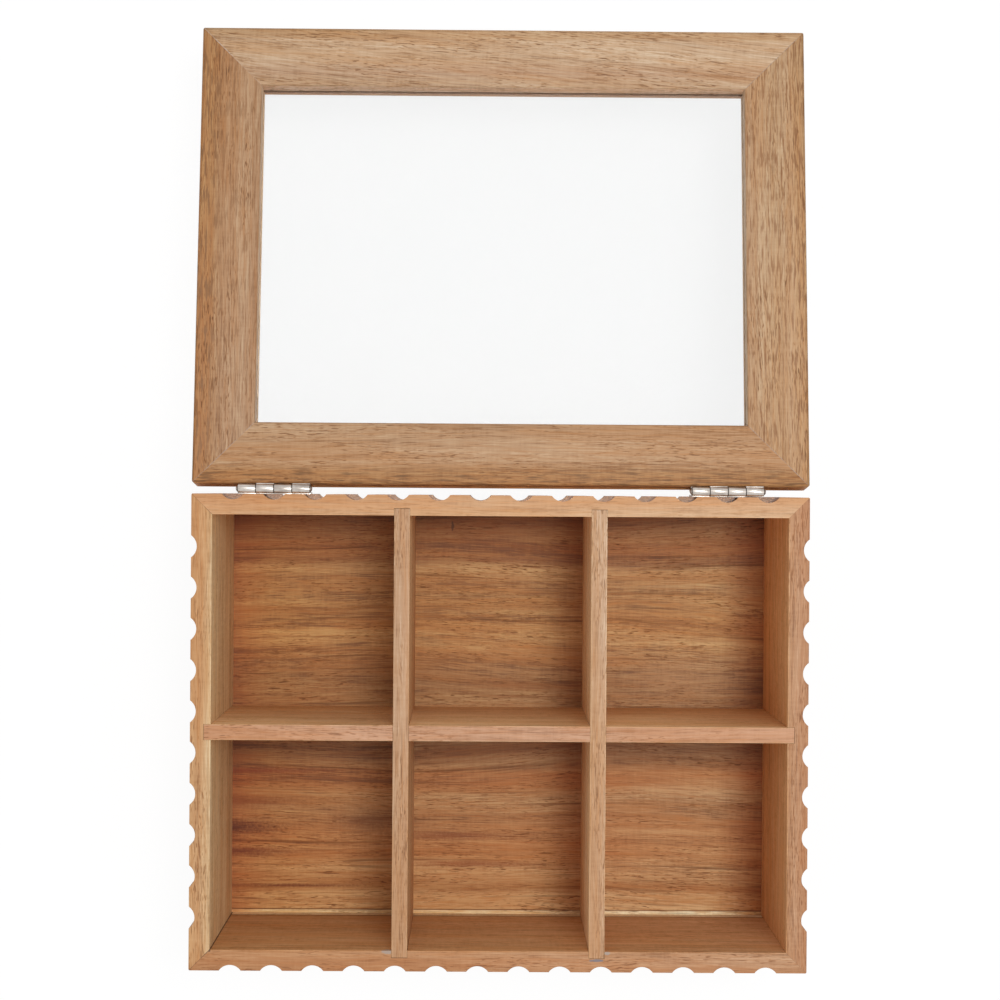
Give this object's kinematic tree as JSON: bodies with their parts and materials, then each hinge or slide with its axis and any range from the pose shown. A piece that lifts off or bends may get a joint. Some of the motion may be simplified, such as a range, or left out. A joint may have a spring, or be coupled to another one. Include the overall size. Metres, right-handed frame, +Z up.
{
  "type": "tea bag organizer box",
  "caption": "Wooden tea bag box with fluted walls, crossed dividers forming compartments, and a hinged lid with a glass window, shown open.",
  "frame": {"origin": "centre of the box's flat underside", "axes": "+Z up, +Y from the front wall to the hinged back wall, +X to the right seen from the front; the lid stands open past level beyond the back wall"},
  "size_m": [0.24, 0.371, 0.0759],
  "materials": {
    "wall_wood": "oiled hardwood, satin",
    "floor_wood": "oiled hardwood, darker, satin",
    "divider_wood": "oiled hardwood, pale, satin",
    "lid_wood": "oiled hardwood, satin",
    "nickel": "polished nickel plate",
    "glass": "clear float glass"
  },
  "bodies": {
    "box": {"front_wall": "wall_wood", "back_wall": "wall_wood", "left_wall": "wall_wood", "right_wall": "wall_wood", "floor_panel": "floor_wood", "divider_left": "divider_wood", "divider_right": "divider_wood", "divider_cross": "divider_wood", "hinge_box_leaf_left": "nickel", "hinge_box_leaf_right": "nickel", "hinge_pin_left": "nickel", "hinge_pin_right": "nickel", "box_leaf_screws_left": "nickel", "box_leaf_screws_right": "nickel"},
    "lid": {"lid_front_rail": "lid_wood", "lid_hinge_rail": "lid_wood", "lid_left_stile": "lid_wood", "lid_right_stile": "lid_wood", "glass_pane": "glass", "hinge_lid_leaf_left": "nickel", "hinge_lid_leaf_right": "nickel", "lid_leaf_screws_left": "nickel", "lid_leaf_screws_right": "nickel"}
  },
  "joints": [
    {"name": "lid_hinge", "type": "hinge", "parent": "box", "child": "lid", "pos_m": [0, 0.0946, 0.07415], "axis": [1, 0, 0], "range_deg": [0, 187.5]}
  ]
}
